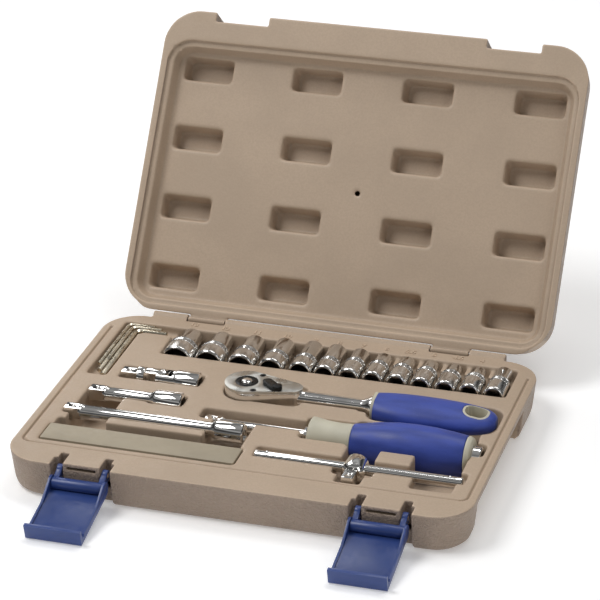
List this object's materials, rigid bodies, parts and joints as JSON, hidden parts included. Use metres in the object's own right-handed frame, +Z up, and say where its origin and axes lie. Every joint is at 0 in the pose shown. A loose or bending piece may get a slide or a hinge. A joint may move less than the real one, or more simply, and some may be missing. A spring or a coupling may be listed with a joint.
{
  "type": "socket wrench set in case",
  "caption": "Quarter-inch drive socket wrench set with ratchet, spinner, T-bar, extensions and bits, laid in a hinged blow-moulded case with two draw latches.",
  "frame": {"origin": "centre of the base's underside, where the case rests", "axes": "+X to the right along the case, +Y towards the hinge, +Z up out of the tray"},
  "size_m": [0.254, 0.3454, 0.1688],
  "materials": {
    "case_shell": "grained blow-moulded polyethylene",
    "hinge_steel": "drawn wire",
    "latch_plastic": "semi-gloss moulded",
    "holder_plastic": "matt moulded",
    "bit_steel": "satin hardened",
    "key_steel": "nickel plated",
    "socket_chrome": "polished with knurled band",
    "bar_chrome": "polished",
    "ball_steel": "polished",
    "satin_plate": "satin chrome",
    "black_steel": "black oxide",
    "core_plastic": "satin moulded",
    "grip_plastic": "soft-touch over-moulding"
  },
  "bodies": {
    "base": {"base_shell": "case_shell", "hinge_pin": "hinge_steel"},
    "lid": {"lid_shell": "case_shell"},
    "latch_link_left": {"latch_link_left": "latch_plastic"},
    "latch_lever_left": {"latch_lever_left": "latch_plastic"},
    "latch_link_right": {"latch_link_right": "latch_plastic"},
    "latch_lever_right": {"latch_lever_right": "latch_plastic"},
    "socket_10": {"socket_10": "socket_chrome"},
    "socket_11": {"socket_11": "socket_chrome"},
    "socket_12": {"socket_12": "socket_chrome"},
    "socket_13": {"socket_13": "socket_chrome"},
    "socket_4": {"socket_4": "socket_chrome"},
    "socket_4_5": {"socket_4_5": "socket_chrome"},
    "socket_5": {"socket_5": "socket_chrome"},
    "socket_5_5": {"socket_5_5": "socket_chrome"},
    "socket_6": {"socket_6": "socket_chrome"},
    "socket_7": {"socket_7": "socket_chrome"},
    "socket_8": {"socket_8": "socket_chrome"},
    "socket_9": {"socket_9": "socket_chrome"},
    "bit_adapter": {"bit_adapter": "socket_chrome", "bit_adapter_ball": "ball_steel"},
    "extension_50": {"extension_50": "bar_chrome", "extension_50_ball": "ball_steel"},
    "extension_100": {"extension_100": "bar_chrome", "extension_100_ball": "ball_steel"},
    "universal_joint": {"uj_socket_fork": "bar_chrome"},
    "uj_cross": {"uj_cross_block": "bar_chrome"},
    "uj_drive": {"uj_drive_fork": "bar_chrome", "uj_ball": "ball_steel"},
    "tbar_rod": {"tbar_rod": "bar_chrome", "tbar_rod_balls": "ball_steel"},
    "tbar_head": {"tbar_sliding_head": "bar_chrome", "tbar_head_ball": "ball_steel"},
    "ratchet": {"ratchet_head": "bar_chrome", "ratchet_cover_plate": "satin_plate", "ratchet_cover_screws": "black_steel", "ratchet_handle_core": "core_plastic", "ratchet_grip": "grip_plastic"},
    "ratchet_drive": {"ratchet_drive_gear": "black_steel", "ratchet_drive_ball": "ball_steel"},
    "ratchet_button": {"ratchet_release_button": "bar_chrome"},
    "ratchet_pawl": {"ratchet_pawl": "ball_steel"},
    "ratchet_reverser": {"ratchet_reversing_lever": "black_steel", "ratchet_pawl_spring": "ball_steel"},
    "spinner": {"spinner_shaft": "bar_chrome", "spinner_shaft_ball": "ball_steel", "spinner_handle_core": "core_plastic", "spinner_grip": "grip_plastic", "spinner_butt_drive": "bar_chrome"},
    "hex_key_3": {"hex_key_3": "key_steel"},
    "hex_key_2_5": {"hex_key_2_5": "key_steel"},
    "hex_key_2": {"hex_key_2": "key_steel"},
    "bit_holder": {"bit_holder": "holder_plastic", "driver_bits_slotted": "bit_steel", "driver_bits_phillips": "bit_steel", "driver_bits_hex": "bit_steel"}
  },
  "joints": [
    {"name": "lid_hinge", "type": "hinge", "parent": "base", "child": "lid", "pos_m": [0, 0.0934, 0.0212], "axis": [-1, 0, 0], "range_deg": [-125.5, 0]},
    {"name": "latch_link_left_swing", "type": "hinge", "parent": "base", "child": "latch_link_left", "pos_m": [-0.0814, -0.0835, 0.0166], "axis": [-1, 0, 0], "range_deg": [-56.4, 0]},
    {"name": "latch_lever_left_swing", "type": "hinge", "parent": "latch_link_left", "child": "latch_lever_left", "pos_m": [-0.0814, -0.092, 0.013], "axis": [1, 0, 0], "range_deg": [-159, 0]},
    {"name": "latch_link_right_swing", "type": "hinge", "parent": "base", "child": "latch_link_right", "pos_m": [0.0814, -0.0835, 0.0166], "axis": [-1, 0, 0], "range_deg": [-56.4, 0]},
    {"name": "latch_lever_right_swing", "type": "hinge", "parent": "latch_link_right", "child": "latch_lever_right", "pos_m": [0.0814, -0.092, 0.013], "axis": [1, 0, 0], "range_deg": [-159, 0]},
    {"name": "socket_10_lift", "type": "slide", "parent": "base", "child": "socket_10", "axis": [0, 0, 1], "range_m": [0, 0.06]},
    {"name": "socket_11_lift", "type": "slide", "parent": "base", "child": "socket_11", "axis": [0, 0, 1], "range_m": [0, 0.06]},
    {"name": "socket_12_lift", "type": "slide", "parent": "base", "child": "socket_12", "axis": [0, 0, 1], "range_m": [0, 0.06]},
    {"name": "socket_13_lift", "type": "slide", "parent": "base", "child": "socket_13", "axis": [0, 0, 1], "range_m": [0, 0.06]},
    {"name": "socket_4_lift", "type": "slide", "parent": "base", "child": "socket_4", "axis": [0, 0, 1], "range_m": [0, 0.06]},
    {"name": "socket_4_5_lift", "type": "slide", "parent": "base", "child": "socket_4_5", "axis": [0, 0, 1], "range_m": [0, 0.06]},
    {"name": "socket_5_lift", "type": "slide", "parent": "base", "child": "socket_5", "axis": [0, 0, 1], "range_m": [0, 0.06]},
    {"name": "socket_5_5_lift", "type": "slide", "parent": "base", "child": "socket_5_5", "axis": [0, 0, 1], "range_m": [0, 0.06]},
    {"name": "socket_6_lift", "type": "slide", "parent": "base", "child": "socket_6", "axis": [0, 0, 1], "range_m": [0, 0.06]},
    {"name": "socket_7_lift", "type": "slide", "parent": "base", "child": "socket_7", "axis": [0, 0, 1], "range_m": [0, 0.06]},
    {"name": "socket_8_lift", "type": "slide", "parent": "base", "child": "socket_8", "axis": [0, 0, 1], "range_m": [0, 0.06]},
    {"name": "socket_9_lift", "type": "slide", "parent": "base", "child": "socket_9", "axis": [0, 0, 1], "range_m": [0, 0.06]},
    {"name": "bit_adapter_lift", "type": "slide", "parent": "base", "child": "bit_adapter", "axis": [0, 0, 1], "range_m": [0, 0.06]},
    {"name": "extension_50_lift", "type": "slide", "parent": "base", "child": "extension_50", "axis": [0, 0, 1], "range_m": [0, 0.06]},
    {"name": "extension_100_lift", "type": "slide", "parent": "base", "child": "extension_100", "axis": [0, 0, 1], "range_m": [0, 0.06]},
    {"name": "universal_joint_lift", "type": "slide", "parent": "base", "child": "universal_joint", "axis": [0, 0, 1], "range_m": [0, 0.06]},
    {"name": "uj_bend_up", "type": "hinge", "parent": "universal_joint", "child": "uj_cross", "pos_m": [-0.0734, 0.0206, 0.0205], "axis": [0, 1, 0], "range_deg": [0, 45]},
    {"name": "uj_bend_side", "type": "hinge", "parent": "uj_cross", "child": "uj_drive", "pos_m": [-0.0734, 0.0206, 0.0205], "axis": [0, 0, 1], "range_deg": [-4, 4]},
    {"name": "tbar_rod_lift", "type": "slide", "parent": "base", "child": "tbar_rod", "axis": [0, 0, 1], "range_m": [0, 0.06]},
    {"name": "tbar_head_slide", "type": "slide", "parent": "tbar_rod", "child": "tbar_head", "axis": [1, 0, 0], "range_m": [-0.0024, 0.0024]},
    {"name": "ratchet_lift", "type": "slide", "parent": "base", "child": "ratchet", "axis": [0, 0, 1], "range_m": [0, 0.06]},
    {"name": "ratchet_drive_spin", "type": "hinge", "parent": "ratchet", "child": "ratchet_drive", "pos_m": [-0.0235, 0.018, 0.0215], "axis": [0, 0, 1], "continuous": true},
    {"name": "ratchet_button_press", "type": "slide", "parent": "ratchet_drive", "child": "ratchet_button", "axis": [0, 0, -1], "range_m": [0, 0.0016], "stiffness_N_per_m": 400, "springref_m": -0.001},
    {"name": "ratchet_pawl_slide", "type": "slide", "parent": "ratchet", "child": "ratchet_pawl", "axis": [1, 0, 0], "range_m": [0, 0.0005], "stiffness_N_per_m": 400, "springref_m": -0.001},
    {"name": "ratchet_reverse", "type": "hinge", "parent": "ratchet", "child": "ratchet_reverser", "pos_m": [-0.011, 0.018, 0.0215], "axis": [0, 0, 1], "range_deg": [0, 80]},
    {"name": "spinner_lift", "type": "slide", "parent": "base", "child": "spinner", "axis": [0, 0, 1], "range_m": [0, 0.06]},
    {"name": "hex_key_3_lift", "type": "slide", "parent": "base", "child": "hex_key_3", "axis": [0, 0, 1], "range_m": [0, 0.06]},
    {"name": "hex_key_2_5_lift", "type": "slide", "parent": "base", "child": "hex_key_2_5", "axis": [0, 0, 1], "range_m": [0, 0.06]},
    {"name": "hex_key_2_lift", "type": "slide", "parent": "base", "child": "hex_key_2", "axis": [0, 0, 1], "range_m": [0, 0.06]},
    {"name": "bit_holder_lift", "type": "slide", "parent": "base", "child": "bit_holder", "axis": [0, 0, 1], "range_m": [0, 0.06]}
  ],
  "couplings": [
    {"joint": "latch_lever_left_swing", "follows": "latch_link_left_swing", "ratio": 2.8191},
    {"joint": "latch_lever_right_swing", "follows": "latch_link_right_swing", "ratio": 2.8191}
  ]
}
